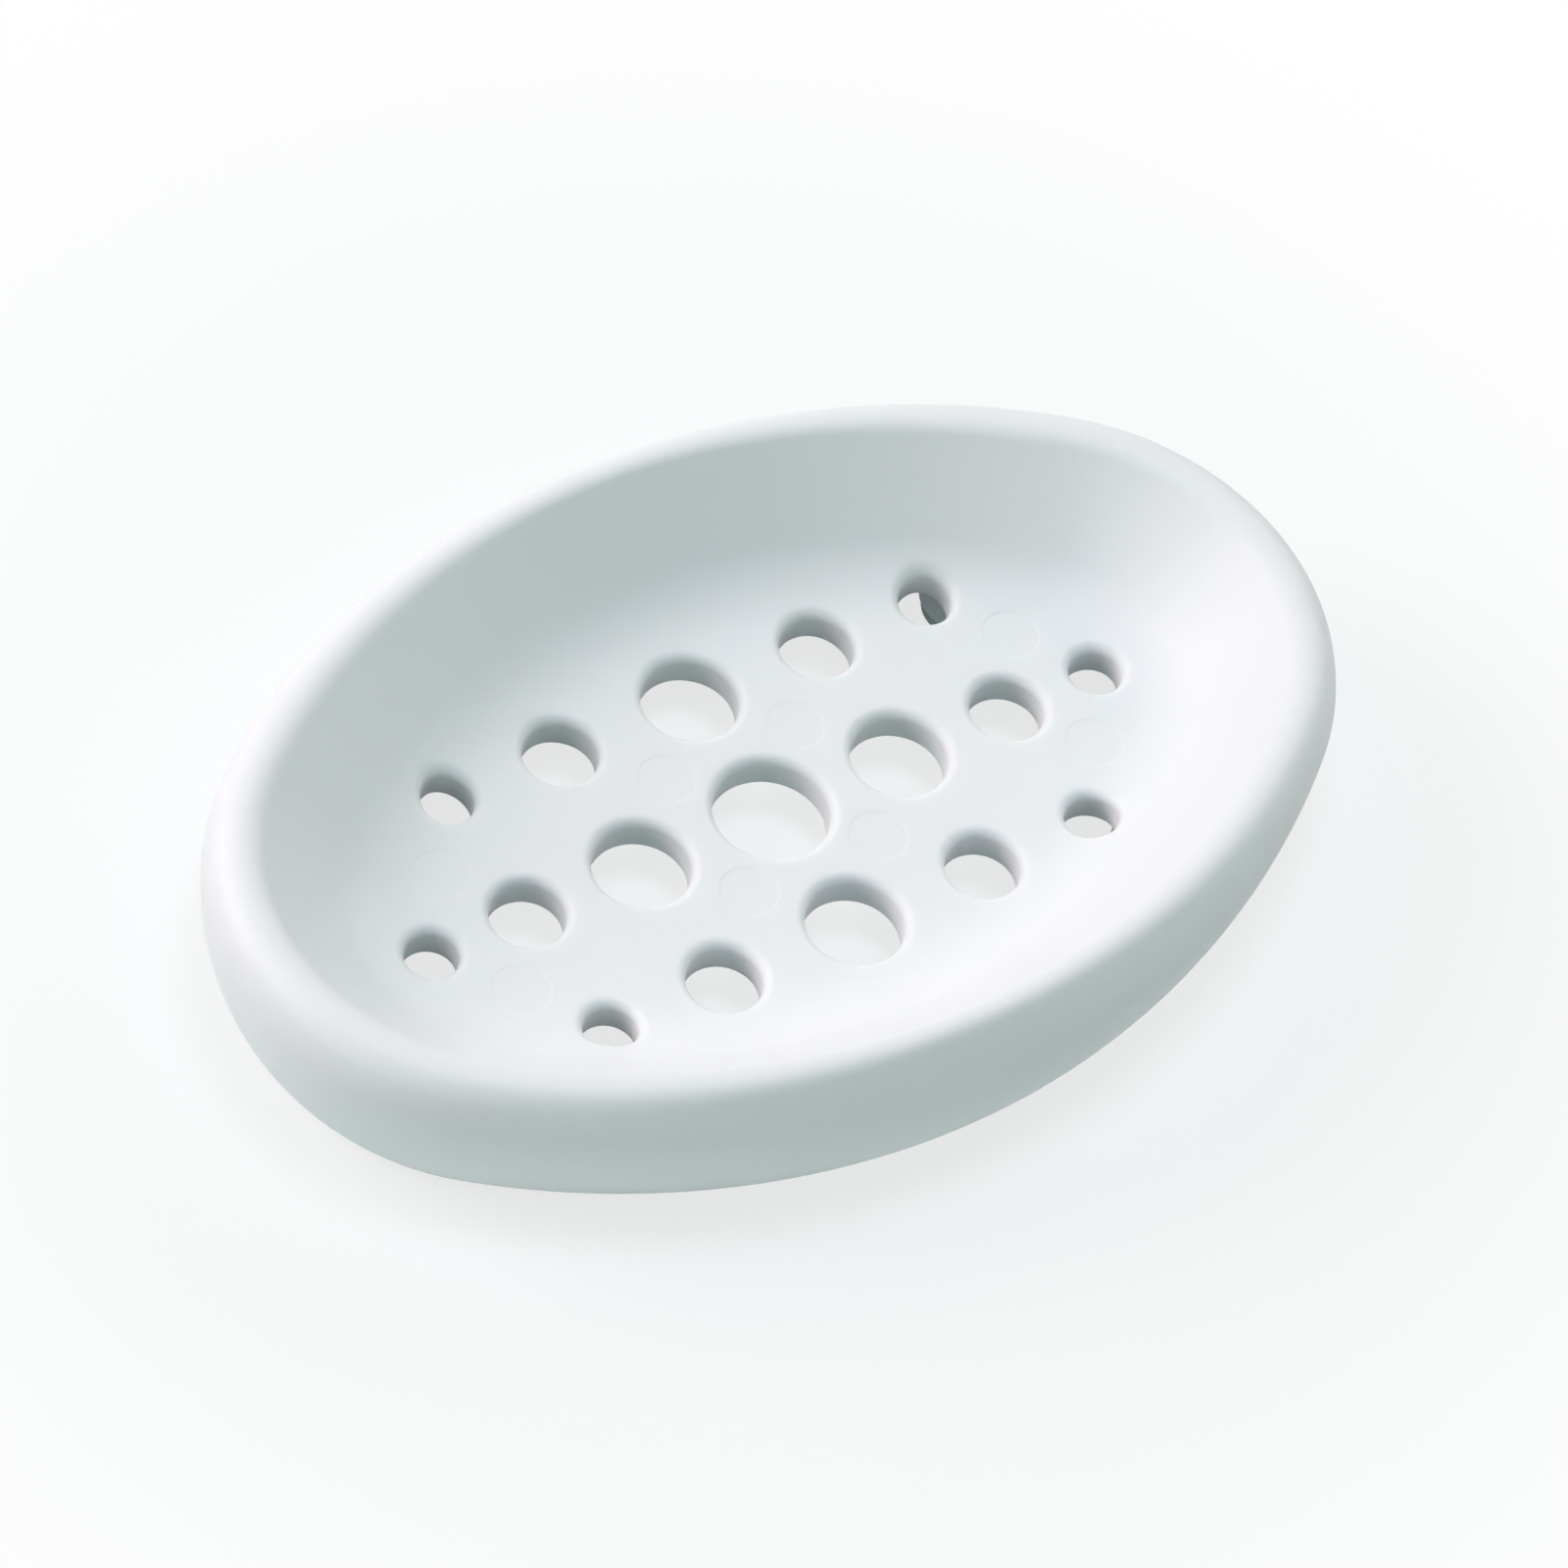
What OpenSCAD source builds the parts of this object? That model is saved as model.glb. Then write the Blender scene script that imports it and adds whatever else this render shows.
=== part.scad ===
// Oval soap dish: one moulded dish with graded drain holes, standing on four push-in soft feet.
// Millimetres, +Z up. The origin is on the table, under the middle drain hole.
// +X runs along the dish, and the photographed front is on the -Y side.

/* [Plan of the dish] */
// Length over the widest level of the wall
body_l = 128; // [122:1:142]
// Width over the widest level of the wall
body_w = 85; // [82:1:94]
// Radius of the oval's two ends in plan
end_r = 31; // [29:0.5:34]

/* [Outer wall and rim] */
// Height of the rim's crest above the table
rim_h = 22; // [21:0.5:24]
// Height of the widest level of the wall above the table
belly_h = 13.6; // [12.6:0.2:14.4]
// Radius of the wall from its widest level up to the rim
shoulder_r = 11.5; // [10.5:0.5:13]
// Rounding of the rim's crest
crest_r = 2; // [1.5:0.25:3]
// How far the skirt's lower edge stands in from the widest level
skirt_in = 4.6; // [3.6:0.1:5.4]
// Gap between the skirt and the table
skirt_gap = 1; // [0.5:0.1:1.6]
// Rounding of the skirt's two lower edges
skirt_round = 0.8; // [0.4:0.1:1.2]
// Thickness of the skirt and of the bowl's side
wall_t = 3; // [2.4:0.1:3.2]
// How far the groove under the rim reaches above the widest level
groove_rise = 3; // [1:0.25:4]

/* [Bowl and floor] */
// Slope of the bowl's side at its steepest, in degrees
bowl_slope = 49; // [46:1:56]
// Fillet between the bowl's side and the floor
bowl_r = 11.5; // [9:0.5:12]
// Height of the floor's top face above the table
floor_h = 9.2; // [8.4:0.2:10]
// Thickness of the floor
floor_t = 4.2; // [3.6:0.1:4.6]

/* [Drain holes] */
// Diameter of the middle hole
hole_d_middle = 12.4; // [11:0.1:13]
// Diameter of the four holes around the middle one
hole_d_large = 10.4; // [9:0.1:11]
// Diameter of the holes two steps from the middle
hole_d_medium = 8; // [7:0.1:8.6]
// Diameter of the outermost holes
hole_d_small = 5.7; // [5:0.1:6.2]
// Web left between neighbouring holes of the middle row
hole_web = 4.6; // [4:0.1:5]
// Rounding of the holes' top edge
hole_round = 1; // [0.4:0.1:1.2]
// Rounding of the holes' bottom edge
hole_relief = 0.4; // [0.2:0.1:0.6]

/* [Ejector marks] */
// Diameter of the round marks that the mould's pins leave on the floor
mark_d = 6.2; // [5:0.1:7]
// Depth of those marks
mark_depth = 0.1; // [0.05:0.05:0.2]

/* [Feet] */
// Diameter of a foot's pad
foot_d = 9; // [8:0.1:9.4]
// Height of a foot's pad, from the table to the boss that it bears on
foot_h = 2.2; // [1.9:0.1:2.6]
// Rounding of the pad's lower edge
foot_round = 0.7; // [0.3:0.1:1]
// Diameter of the ribs on a foot's stem
stem_d = 4; // [3.4:0.1:4.6]
// Length of a foot's stem
stem_l = 4.4; // [3.6:0.1:4.8]
// Play of the stem in its socket, on the radius
stem_play = 0.05; // [0.02:0.01:0.1]
// Space above the stem's tip in its socket
stem_relief = 0.5; // [0.3:0.1:0.8]
// Depth of the grooves between the stem's ribs
stem_groove = 0.25; // [0.1:0.05:0.4]
// Diameter of the boss that holds a foot
boss_d = 10; // [9:0.1:10.6]
// How far the feet stand in from the outline
foot_inset = 13; // [12.6:0.1:13.6]
// Place of the feet along the side arcs, as a share of the way from an arc's join to its middle
foot_share = 0.16; // [0.12:0.01:0.22]

/* [Hidden] */
$fn = 96;

// Overrun of every cut past the face that it opens
cut_over = skirt_gap;
// Overlap of the swept wall with the flat core of the floor
core_lap = wall_t / 2;
// Largest gap between a chord of the wall's section and its true arc
chord_gap = wall_t / 100;
// Extra turn of a swept piece past the plane that it is cut off at, in degrees
turn_over = 3;

dish_white = [0.91, 0.93, 0.93];
foot_grey = [0.82, 0.85, 0.85];

// Four-centre oval: two end arcs and two side arcs that meet tangentially
half_l = body_l / 2;
half_w = body_w / 2;
side_r = (pow(half_w, 2) + pow(half_l, 2) - 2 * half_l * end_r) / (2 * (half_w - end_r));
end_x = half_l - end_r;
side_y = side_r - half_w;
join_angle = atan2(side_y, end_x);
centre_gap = side_r - end_r;

// Section of the wall: x is measured outwards from the outline and y is the height
lower_r = (pow(belly_h - skirt_gap, 2) + pow(skirt_in, 2)) / (2 * skirt_in);
lower_c = [-lower_r, belly_h];
shoulder_c = [-shoulder_r, belly_h];
crest_angle = asin((rim_h - belly_h - crest_r) / (shoulder_r - crest_r));
crest_c = shoulder_c + (shoulder_r - crest_r) * [cos(crest_angle), sin(crest_angle)];
slope_top = crest_c + crest_r * [-sin(bowl_slope), cos(bowl_slope)];
slope_foot_h = floor_h + bowl_r * (1 - cos(bowl_slope));
floor_inset = bowl_r * sin(bowl_slope) - slope_top[0] + (slope_top[1] - slope_foot_h) / tan(bowl_slope);
bowl_c = [-floor_inset, floor_h + bowl_r];
core_inset = floor_inset + core_lap;

// Section of the space under the dish: the same wall, one thickness further in
floor_under_h = floor_h - floor_t;
groove_r = lower_r - wall_t;
groove_top = belly_h + groove_rise;
groove_angle = asin(groove_rise / (shoulder_r - wall_t));
under_r = bowl_r + wall_t;
under_c = bowl_c + (wall_t - floor_t) * [1 / tan(bowl_slope), 1];
under_foot = under_c + under_r * [sin(bowl_slope), -cos(bowl_slope)];
groove_inner_x = under_foot[0] + (groove_top - under_foot[1]) / tan(bowl_slope);

// Angles at which the skirt's edge roundings meet the wall's two faces
edge_h = skirt_gap + skirt_round;
outer_edge_angle = asin((belly_h - edge_h) / (lower_r - skirt_round));
inner_edge_angle = asin((belly_h - edge_h) / (groove_r + skirt_round));
outer_edge_x = -lower_r + (lower_r - skirt_round) * cos(outer_edge_angle);
inner_edge_x = -lower_r + (groove_r + skirt_round) * cos(inner_edge_angle);

// Drain holes: a hole's size follows its steps from the middle, columns and rows alike
hole_ds = [hole_d_middle, hole_d_large, hole_d_medium, hole_d_small];
last_step = len(hole_ds) - 1;
function column_x(step) =
    step == 0 ? 0 : column_x(step - 1) + (hole_ds[step - 1] + hole_ds[step]) / 2 + hole_web;
row_y = column_x(1);
// Height of the flare over a hole's mouth
flare_h = hole_d_small / 2;
// Slope of the cone that a hole's upper rounding runs out in
cone_slope = 45;

// Ejector marks sit midway between the holes around them
mark_xs = [column_x(1) / 2, (column_x(last_step - 1) + column_x(last_step)) / 2];

// Feet: bosses stand in the groove under the rim, over the side arcs
foot_angle = join_angle + foot_share * (90 - join_angle);
foot_x = (side_r - foot_inset) * cos(foot_angle);
foot_y = (side_r - foot_inset) * sin(foot_angle) - side_y;
socket_depth = stem_l + stem_relief;

// Points along an arc. A following arc leaves out its first point, which the last one ended on
function arc(centre, radius, from, to, follows = false) =
    let (steps = ceil(abs(to - from) / (2 * acos(1 - chord_gap / radius))))
    [for (k = [follows ? 1 : 0 : steps])
        let (angle = from + (to - from) * k / steps)
        centre + radius * [cos(angle), sin(angle)]];

// Points round a quarter of the oval at an inset from the outline, from the +X end to the +Y side
function quarter(inset) = concat(
    arc([end_x, 0], end_r - inset, 0, join_angle),
    arc([0, -side_y], side_r - inset, join_angle, 90, follows = true));

// The moulded wall from the floor's edge over the rim to the skirt, drawn round its outline
module wall_section() {
    polygon(concat(
        [[-core_inset, floor_h]],
        arc(bowl_c, bowl_r, -90, bowl_slope - 90),
        arc(crest_c, crest_r, 90 + bowl_slope, crest_angle),
        arc(shoulder_c, shoulder_r, crest_angle, 0, follows = true),
        arc(lower_c, lower_r, 0, -outer_edge_angle, follows = true),
        arc([outer_edge_x, edge_h], skirt_round, -outer_edge_angle, -90, follows = true),
        arc([inner_edge_x, edge_h], skirt_round, -90, -180 - inner_edge_angle),
        arc(lower_c, groove_r, -inner_edge_angle, 0, follows = true),
        arc(shoulder_c, shoulder_r - wall_t, 0, groove_angle, follows = true),
        [[groove_inner_x, groove_top]],
        arc(under_c, under_r, bowl_slope - 90, -90),
        [[-core_inset, floor_under_h]]
    ));
}

// The filling of a boss: it ends half way through the bowl's side
module boss_section() {
    polygon(concat(
        [[-core_inset, foot_h], [-core_inset, floor_h - wall_t / 2]],
        arc(bowl_c, bowl_r + wall_t / 2, -90, bowl_slope - 90),
        [crest_c, [crest_c[0], foot_h]]
    ));
}

// A quarter of the dish's wall: half an end arc and half a side arc, met in one radial plane
module quarter_wall() {
    intersection() {
        translate([end_x, 0, 0])
            rotate([0, 0, join_angle]) {
                mirror([0, 1, 0])
                    rotate_extrude(angle = join_angle + turn_over)
                        translate([end_r, 0])
                            wall_section();
                translate([-centre_gap, 0, 0])
                    rotate_extrude(angle = 90 - join_angle + turn_over)
                        translate([centre_gap, 0])
                            translate([end_r, 0])
                                wall_section();
            }
        cube([body_l, body_w, 2 * rim_h]);
    }
}

// The flat middle of the floor. Its edge lies inside the lap of the swept wall
module floor_core() {
    edge = quarter(core_inset - core_lap / 2);
    last = len(edge) - 1;
    translate([0, 0, floor_under_h])
        linear_extrude(floor_t)
            polygon(concat(
                edge,
                [for (k = [1 : last]) [-edge[last - k][0], edge[last - k][1]]],
                [for (k = [1 : last]) -edge[k]],
                [for (k = [1 : last - 1]) [edge[last - k][0], -edge[last - k][1]]]
            ));
}

module boss() {
    intersection() {
        translate([0, -side_y, 0])
            rotate([0, 0, foot_angle]) {
                translate([side_r - foot_inset, 0, 0])
                    cylinder(d = boss_d, h = 2 * rim_h);
            }
        translate([0, -side_y, 0])
            rotate([0, 0, join_angle])
                rotate_extrude(angle = 2 * (foot_angle - join_angle))
                    translate([side_r, 0])
                        boss_section();
    }
}

// Places its children in all four quarters of the dish
module in_four_quarters() {
    for (flip_x = [0, 1], flip_y = [0, 1])
        mirror([flip_x, 0, 0])
            mirror([0, flip_y, 0])
                children();
}

// A straight bore whose two edges are rounded over. Where its middle lies on the fillet, the
// upper rounding stands square to the fillet there and runs out in a short cone
module drain_hole(place, d) {
    in_end = place[0] > end_x && atan2(place[1], place[0] - end_x) < join_angle;
    centre = in_end ? [end_x, 0] : [0, -side_y];
    inset = (in_end ? end_r : side_r) - norm(place - centre);
    tilt = asin(max(0, floor_inset - inset) / bowl_r);
    out_angle = atan2(place[1] - centre[1], place[0] - centre[0]);
    // A ring as wide as the hole rests on the fillet a little above its middle
    ring_rise = tilt > 0 ? bowl_r - sqrt(pow(bowl_r, 2) - pow(d / 2, 2)) : 0;
    translate([place[0], place[1], floor_under_h - cut_over])
        cylinder(d = d, h = rim_h);
    translate([place[0], place[1], floor_h + bowl_r * (1 - cos(tilt))])
        rotate([0, 0, out_angle])
            rotate([0, -tilt, 0])
                translate([0, 0, ring_rise])
                    edge_rounding(d / 2, hole_round, tilt > 0 ? cone_slope : 0);
    translate([place[0], place[1], floor_under_h])
        mirror([0, 0, 1])
            edge_rounding(d / 2, hole_relief, 0);
}

// What a rounding takes off a hole's upper edge. The arc stops at a slope, and a cone goes on from
// there: it opens the edge up where the bowl's side rises past the hole. At a slope of zero the arc
// is whole, and the cone only touches the flat floor
module edge_rounding(r, rounding, slope) {
    mouth = [r + rounding * (1 - sin(slope)), -rounding * (1 - cos(slope))];
    rotate_extrude()
        union() {
            difference() {
                translate([0, -rounding])
                    square([mouth[0], rounding * cos(slope)]);
                translate([r + rounding, -rounding])
                    circle(rounding);
            }
            polygon([[0, mouth[1]], mouth, mouth + flare_h * [1 / tan(cone_slope), 1], [0, mouth[1] + flare_h]]);
        }
}

// The holes of one half row, and their mirror images
module drain_holes() {
    for (row = [0, 1], column = [0 : last_step]) {
        step = row + column;
        if (step <= last_step)
            for (side_x = column > 0 ? [0, 1] : [0], side_y_hole = row > 0 ? [0, 1] : [0])
                mirror([side_x, 0, 0])
                    mirror([0, side_y_hole, 0])
                        drain_hole([column_x(column), row * row_y], hole_ds[step]);
    }
}

module ejector_marks() {
    in_four_quarters()
        for (x = mark_xs)
            translate([x, row_y / 2, floor_h - mark_depth])
                cylinder(d = mark_d, h = cut_over);
}

module foot_socket() {
    translate([foot_x, foot_y, foot_h - cut_over])
        cylinder(r = stem_d / 2 + stem_play, h = socket_depth + cut_over);
}

module dish_body() {
    color(dish_white)
        difference() {
            union() {
                in_four_quarters() {
                    quarter_wall();
                    boss();
                }
                floor_core();
            }
            drain_holes();
            ejector_marks();
            in_four_quarters()
                foot_socket();
        }
}

// A soft foot: a pad with a rounded lower edge and a ribbed stem that is pushed into the boss
module foot() {
    pad_r = foot_d / 2;
    rib_h = stem_l / 5;
    core_r = stem_d / 2 - stem_groove;
    rotate_extrude()
        union() {
            square([pad_r - foot_round, foot_h]);
            translate([0, foot_round])
                square([pad_r, foot_h - foot_round]);
            translate([pad_r - foot_round, foot_round])
                circle(foot_round);
        }
    translate([0, 0, foot_h])
        cylinder(r = core_r, h = stem_l);
    for (level = [1, 3])
        translate([0, 0, foot_h + level * rib_h])
            cylinder(r = stem_d / 2, h = rib_h);
}

module placed_foot(side_x, side_y_foot) {
    color(foot_grey)
        translate([side_x * foot_x, side_y_foot * foot_y, 0])
            foot();
}

dish_body();
placed_foot(-1, -1);  // foot_front_left
placed_foot(1, -1);  // foot_front_right
placed_foot(-1, 1);  // foot_rear_left
placed_foot(1, 1);  // foot_rear_right
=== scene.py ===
"""An oval soap dish: one satin plastic moulding with graded drain holes, on four soft feet.

Lengths are metres. The origin is on the table under the middle drain hole, +X runs along the
dish and +Z is up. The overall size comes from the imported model, and the rest from the property
groups below.
"""

import math

import bmesh
import bpy
from bpy.props import FloatProperty, FloatVectorProperty, IntProperty, PointerProperty
from mathutils import Matrix, Vector
from mathutils.geometry import delaunay_2d_cdt


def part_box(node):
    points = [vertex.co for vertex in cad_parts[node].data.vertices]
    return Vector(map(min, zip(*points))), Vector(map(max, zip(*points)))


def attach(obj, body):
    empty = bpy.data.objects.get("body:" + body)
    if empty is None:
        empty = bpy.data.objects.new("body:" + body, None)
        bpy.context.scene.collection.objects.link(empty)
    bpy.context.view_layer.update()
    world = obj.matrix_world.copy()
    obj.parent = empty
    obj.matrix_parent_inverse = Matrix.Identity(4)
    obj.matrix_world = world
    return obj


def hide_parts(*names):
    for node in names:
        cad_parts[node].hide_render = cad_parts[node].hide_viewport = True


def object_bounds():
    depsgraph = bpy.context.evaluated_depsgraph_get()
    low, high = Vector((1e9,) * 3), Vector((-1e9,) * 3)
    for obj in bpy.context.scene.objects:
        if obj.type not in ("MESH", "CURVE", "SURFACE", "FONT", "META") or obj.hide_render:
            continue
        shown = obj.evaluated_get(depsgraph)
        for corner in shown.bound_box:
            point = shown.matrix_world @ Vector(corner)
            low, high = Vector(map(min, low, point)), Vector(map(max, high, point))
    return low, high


bl_info = {
    "name": "Oval Soap Dish",
    "version": (1, 0, 0),
    "blender": (4, 5, 0),
    "location": "3D View > Sidebar > Soap Dish",
    "description": "Builds an oval draining soap dish of satin plastic, its soft feet and a studio",
    "category": "Object",
}

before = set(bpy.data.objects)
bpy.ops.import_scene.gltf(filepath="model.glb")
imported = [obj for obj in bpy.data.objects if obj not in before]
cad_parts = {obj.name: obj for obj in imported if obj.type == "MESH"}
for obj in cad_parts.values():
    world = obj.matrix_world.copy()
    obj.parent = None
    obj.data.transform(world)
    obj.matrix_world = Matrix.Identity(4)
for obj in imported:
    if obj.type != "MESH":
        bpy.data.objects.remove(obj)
CAD_LOW, CAD_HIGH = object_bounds()
FEET = ("foot_front_left", "foot_front_right", "foot_rear_left", "foot_rear_right")
FOOT_LOW, FOOT_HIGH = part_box("foot_rear_right")

MM = 0.001
# The photograph's frame, which the camera's lens is worked out for
PHOTO_PIXELS = 1600
SENSOR = 36.0

# Steps along the arcs of the sections: short arcs, edges that turn through a right angle or more,
# fillets, the wall's long arcs and the crest
SHORT_STEPS, TURN_STEPS, FILLET_STEPS, WALL_STEPS, CREST_STEPS = 6, 9, 12, 20, 30
# Steps round a foot
FOOT_STEPS = 48

# Points of the dish nearer than this are one
WELD = 0.001 * MM

# Half the width of the studio's table, in lengths of the dish
TABLE_REACH = 40
# Distances from the dish between which what is seen of the table turns wholly white
WHITE_FROM, WHITE_TO = 55 * MM, 150 * MM

# How far the lamps stand from the dish, in metres, and the colours of the white seen directly and
# of the light from all round
LAMP_DISTANCE = 1.0
WHITE, ROOM_COLOUR = (1.0, 1.0, 1.0, 1.0), (0.9, 1.0, 0.99, 1.0)
# Lamp, property with its level, azimuth anticlockwise from +X and elevation in degrees, width, colour
LAMPS = (
    ("key lamp", "key_level", 135, 31, 0.6, (1.0, 0.835, 0.85)),
    ("top lamp", "top_level", 90, 89, 0.35, (0.84, 0.95, 1.0)),
    ("right fill", "right_level", 15, 32, 0.6, (1.0, 0.88, 0.84)),
    ("front fill", "front_level", 240, 12, 0.35, (0.92, 1.0, 0.86)),
)


def linear(hex_colour):
    """An sRGB hex colour as linear red, green, blue and alpha."""
    channels = [int(hex_colour[i : i + 2], 16) / 255 for i in (1, 3, 5)]
    return tuple(c / 12.92 if c <= 0.04045 else ((c + 0.055) / 1.055) ** 2.4 for c in channels) + (1.0,)


# ---- Sizes and colours that a user would change


def length_prop(name, description, default):
    """A length, in metres."""
    return FloatProperty(name=name, description=description, default=default, unit="LENGTH")


def angle_prop(name, description, degrees):
    """An angle, whose default is given in degrees."""
    return FloatProperty(name=name, description=description, default=math.radians(degrees), subtype="ANGLE")


def number_prop(name, description, default):
    """A plain number."""
    return FloatProperty(name=name, description=description, default=default)


def colour_prop(name, description, hex_colour):
    """A colour, whose default is given as an sRGB hex value."""
    default = linear(hex_colour)[:3]
    return FloatVectorProperty(name=name, description=description, default=default, subtype="COLOR")


class DishSizes(bpy.types.PropertyGroup):
    """The moulding: its plan, wall, floor and drain holes."""

    length: length_prop("Length", "Length over the widest level of the wall", CAD_HIGH.x - CAD_LOW.x)
    width: length_prop("Width", "Width over the widest level of the wall", CAD_HIGH.y - CAD_LOW.y)
    rim_height: length_prop("Rim height", "Height of the rim's crest above the table", CAD_HIGH.z)
    end_radius: length_prop("End radius", "Radius of the oval's ends in plan", 31 * MM)
    belly_height: length_prop("Belly height", "Height of the wall's widest level", 13.6 * MM)
    shoulder_radius: length_prop(
        "Shoulder radius", "Radius of the wall from its widest level up to the rim", 11.5 * MM
    )
    crest_radius: length_prop("Crest radius", "Rounding of the rim's crest", 2 * MM)
    end_rim_drop: length_prop(
        "Rim drop at the ends", "How much lower the crest is at the oval's two ends", 0.6 * MM
    )
    end_belly_height: length_prop(
        "Belly height at the ends", "Height of the widest level at the oval's two ends", 15.6 * MM
    )
    end_shoulder_radius: length_prop(
        "Shoulder radius at the ends", "Radius of the shoulder at the oval's two ends", 10.2 * MM
    )
    end_crest_radius: length_prop(
        "Crest radius at the ends",
        "Rounding of the crest at the oval's two ends, where the rim is broader",
        3.2 * MM,
    )
    skirt_inset: length_prop("Skirt inset", "How far the skirt's lower edge stands in", 4.6 * MM)
    skirt_gap: length_prop("Skirt gap", "Gap between the skirt and the table", 1 * MM)
    skirt_round: length_prop("Skirt rounding", "Rounding of the skirt's two lower edges", 0.8 * MM)
    wall: length_prop("Wall", "Thickness of the skirt and of the bowl's side", 3 * MM)
    groove_rise: length_prop(
        "Groove rise", "How far the groove under the rim reaches above the widest level", 3 * MM
    )
    bowl_slope: angle_prop("Bowl slope", "Steepest slope of the bowl's side", 49)
    bowl_radius: length_prop("Bowl radius", "Fillet between the bowl's side and the floor", 11.5 * MM)
    floor_height: length_prop("Floor height", "Height of the floor's top face above the table", 9.2 * MM)
    floor_thickness: length_prop("Floor thickness", "Thickness of the floor", 4.2 * MM)
    middle_hole: length_prop("Middle hole", "Diameter of the middle drain hole", 12.4 * MM)
    large_hole: length_prop("Large holes", "Diameter of the holes next to the middle one", 10.4 * MM)
    medium_hole: length_prop("Medium holes", "Diameter of the holes two steps out", 8 * MM)
    small_hole: length_prop("Small holes", "Diameter of the outermost holes", 5.7 * MM)
    hole_web: length_prop("Web", "Material left between the holes of the middle row", 4.6 * MM)
    hole_round: length_prop("Upper edge", "Rounding of the holes' upper edge", 1.2 * MM)
    hole_relief: length_prop("Lower edge", "Rounding of the holes' lower edge", 0.4 * MM)
    mark: length_prop("Ejector mark", "Diameter of the marks that the mould's pins leave", 6.2 * MM)
    mark_depth: length_prop("Mark depth", "Depth of the ejector marks", 0.08 * MM)
    boss: length_prop("Boss", "Diameter of the bosses that hold the feet", 10 * MM)
    path_steps: IntProperty(
        name="Plan steps",
        description="Steps on each of the oval's eight half arcs",
        default=30,
        min=8,
    )
    hole_steps: IntProperty(
        name="Hole steps",
        description="Steps round each drain hole",
        default=64,
        min=16,
    )


class FootSizes(bpy.types.PropertyGroup):
    """The push-in feet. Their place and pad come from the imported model."""

    pad_height: length_prop("Pad height", "Height of a foot's pad", 2.2 * MM)
    pad_round: length_prop("Pad rounding", "Rounding of the pad's lower edge", 0.7 * MM)
    stem: length_prop("Stem", "Diameter of the stem's ribs", 4 * MM)
    stem_groove: length_prop("Stem groove", "Depth of the grooves between the ribs", 0.25 * MM)
    socket_play: length_prop("Socket play", "Gap round the stem in its socket", 0.05 * MM)
    socket_relief: length_prop("Socket relief", "Space above the stem's tip", 0.5 * MM)


class Finishes(bpy.types.PropertyGroup):
    """Colours of the pieces and of the studio's table."""

    dish: colour_prop("Dish", "Colour of the moulding", "#e1e8e9")
    feet: colour_prop("Feet", "Colour of the soft feet", "#d0d6d5")
    table: colour_prop("Table", "Colour of the studio's table", "#e8f2f2")
    table_white: FloatProperty(
        name="White share",
        description="Share of plain white that the camera and reflections see in the table near the dish",
        default=0.75,
        min=0,
        max=1,
    )


class StudioSettings(bpy.types.PropertyGroup):
    """Lamps and camera."""

    key_level: number_prop(
        "Key", "Light of the large lamp behind and to the left, on a face turned to it", 0.93
    )
    top_level: number_prop("Top", "Light of the overhead lamp, on a face turned to it", 0.42)
    right_level: number_prop(
        "Right fill", "Light of the fill behind and to the right, on a face turned to it", 0.4
    )
    front_level: number_prop("Front fill", "Light of the low fill in front, on a face turned to it", 0.15)
    room_level: number_prop("Room", "Strength of the light from all round", 0.02)
    focal_pixels: number_prop(
        "Focal length in pixels", "Focal length of the photograph's camera, in its own pixels", 6937
    )
    azimuth: angle_prop("Azimuth", "Direction that the camera looks in, clockwise from +Y", 43.96)
    elevation: angle_prop("Elevation", "Camera's angle above the table", 51.76)
    roll: angle_prop("Roll", "Turn of the camera about its line of sight", 14.11)
    position: FloatVectorProperty(
        name="Position",
        description="Camera's place, seen from the middle hole's mouth",
        default=(-300.2 * MM, -312.1 * MM, 553.7 * MM),
        subtype="TRANSLATION",
    )


# ---- The form of the dish


def arc(centre, radius, start, end, count):
    """Points of an arc in a section, from one angle to another in degrees, both ends included."""
    angles = [math.radians(start + (end - start) * k / count) for k in range(count + 1)]
    return [(centre[0] + radius * math.cos(a), centre[1] + radius * math.sin(a)) for a in angles]


def circle(centre, radius, steps):
    """Points of a circle in the plan, as (x, y)."""
    angles = [2 * math.pi * k / steps for k in range(steps)]
    return [(centre[0] + radius * math.cos(a), centre[1] + radius * math.sin(a)) for a in angles]


def softened(before, corner, after, reach, count=4):
    """A corner of a section, replaced by a small curve that leaves and meets its two sides."""
    corner = Vector(corner)
    start = corner + (Vector(before) - corner).normalized() * reach
    end = corner + (Vector(after) - corner).normalized() * reach
    shares = [k / count for k in range(count + 1)]
    return [tuple(start * (1 - t) ** 2 + corner * 2 * t * (1 - t) + end * t**2) for t in shares]


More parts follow.
